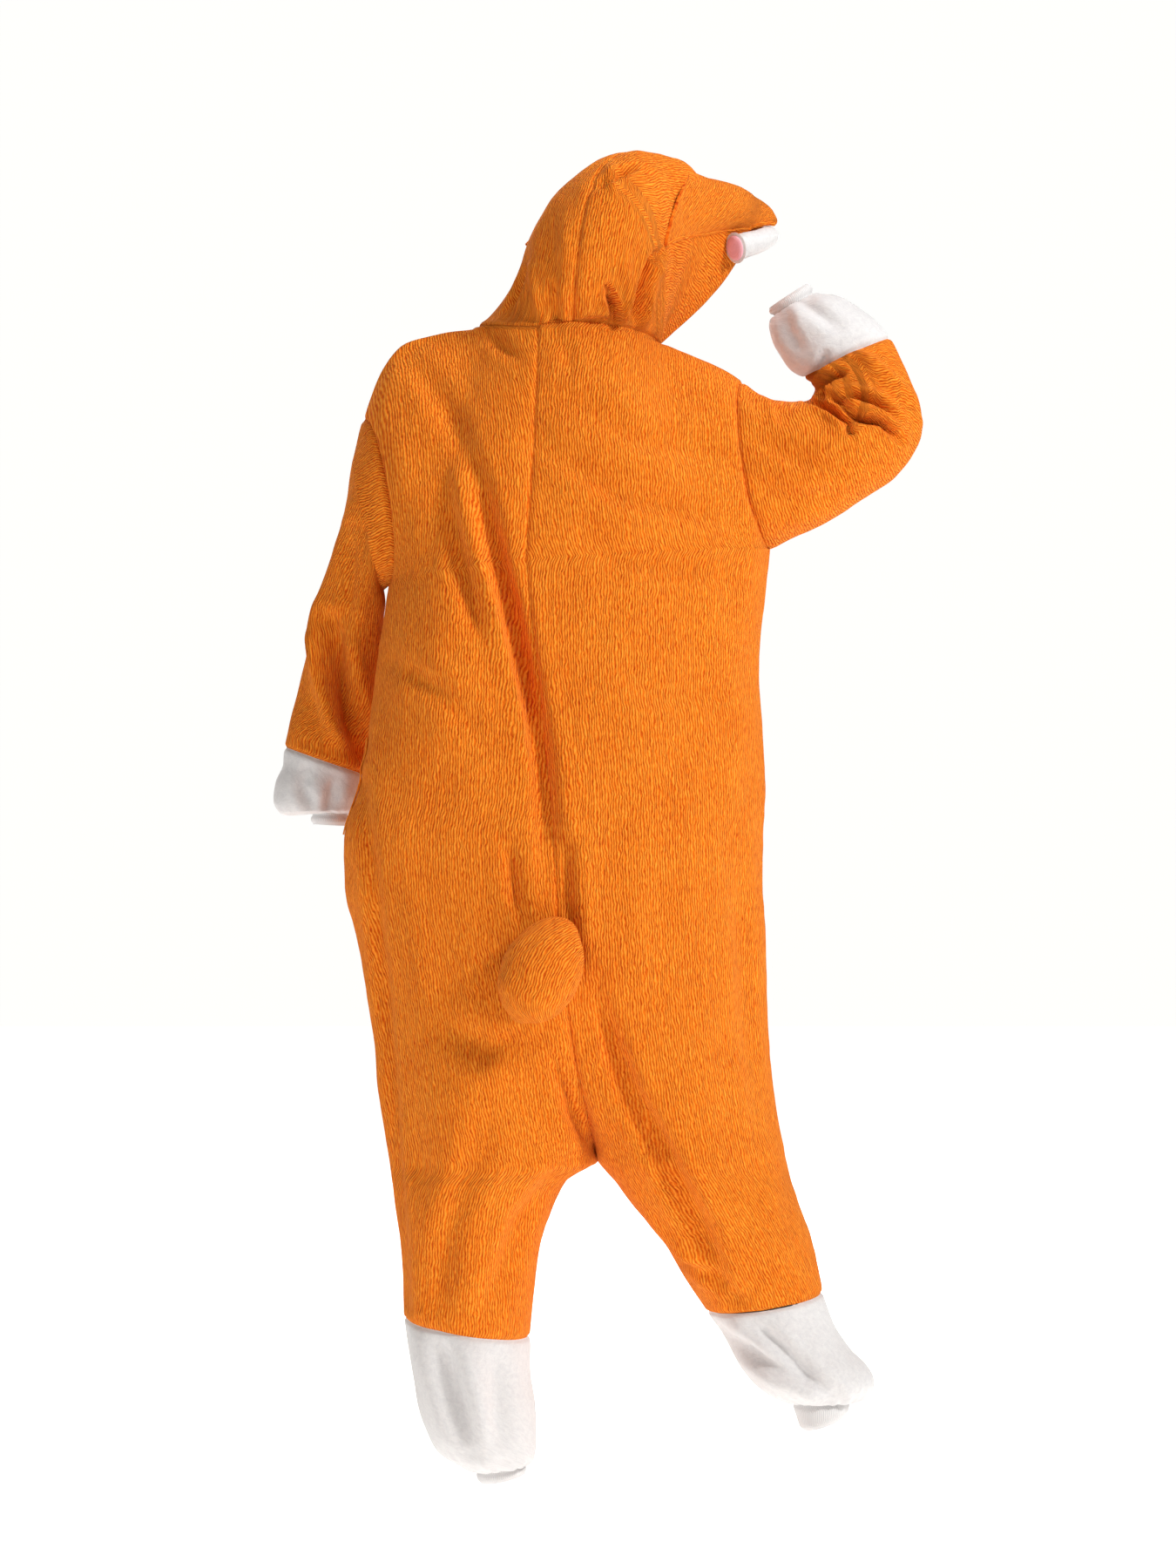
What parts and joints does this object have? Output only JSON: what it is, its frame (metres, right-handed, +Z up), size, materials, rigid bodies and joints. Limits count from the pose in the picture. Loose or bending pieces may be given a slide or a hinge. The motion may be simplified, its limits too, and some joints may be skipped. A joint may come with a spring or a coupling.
{
  "type": "animal onesie",
  "caption": "Worn one-piece hooded animal suit in soft fleece: low seat, wide sleeves and legs drawn into rib bands, buttoned front, stuffed tail, hood with a padded snout.",
  "frame": {"origin": "the middle of the shoulders, where the wearer carries the suit", "axes": "+Z up along the wearer, +Y the wearer's forward direction through the chest, +X the wearer's right"},
  "size_m": [0.7842, 0.4117, 1.5997],
  "materials": {
    "back_left": "crinkled soft fleece",
    "back_right": "crinkled soft fleece",
    "front_left": "crinkled soft fleece",
    "front_right": "crinkled soft fleece",
    "sleeve_left": "crinkled soft fleece",
    "sleeve_right": "crinkled soft fleece",
    "sleeve_end_left": "smooth soft fleece",
    "cuff_left": "rib knit",
    "sleeve_end_right": "smooth soft fleece",
    "cuff_right": "rib knit",
    "leg_end_left": "smooth soft fleece",
    "ankle_left": "rib knit",
    "leg_end_right": "smooth soft fleece",
    "ankle_right": "rib knit",
    "hood_left": "crinkled soft fleece",
    "hood_right": "crinkled soft fleece",
    "snout": "crinkled fleece, padded",
    "snout_lip": "soft fleece, padded",
    "lip_end_right": "soft fleece, padded",
    "lip_end_left": "soft fleece, padded",
    "tail": "crinkled fleece, stuffed",
    "placket": "crinkled soft fleece",
    "pocket_welt": "crinkled soft fleece",
    "button_1": "moulded plastic, satin",
    "button_2": "moulded plastic, satin",
    "button_3": "moulded plastic, satin",
    "button_4": "moulded plastic, satin",
    "button_5": "moulded plastic, satin",
    "button_6": "moulded plastic, satin"
  },
  "bodies": {
    "root": {"back_left": "back_left", "back_right": "back_right", "front_left": "front_left", "front_right": "front_right", "sleeve_left": "sleeve_left", "sleeve_right": "sleeve_right", "sleeve_end_left": "sleeve_end_left", "cuff_left": "cuff_left", "sleeve_end_right": "sleeve_end_right", "cuff_right": "cuff_right", "leg_end_left": "leg_end_left", "ankle_left": "ankle_left", "leg_end_right": "leg_end_right", "ankle_right": "ankle_right", "hood_left": "hood_left", "hood_right": "hood_right", "snout": "snout", "snout_lip": "snout_lip", "lip_end_right": "lip_end_right", "lip_end_left": "lip_end_left", "tail": "tail", "placket": "placket", "pocket_welt": "pocket_welt", "button_1": "button_1", "button_2": "button_2", "button_3": "button_3", "button_4": "button_4", "button_5": "button_5", "button_6": "button_6"}
  },
  "joints": []
}
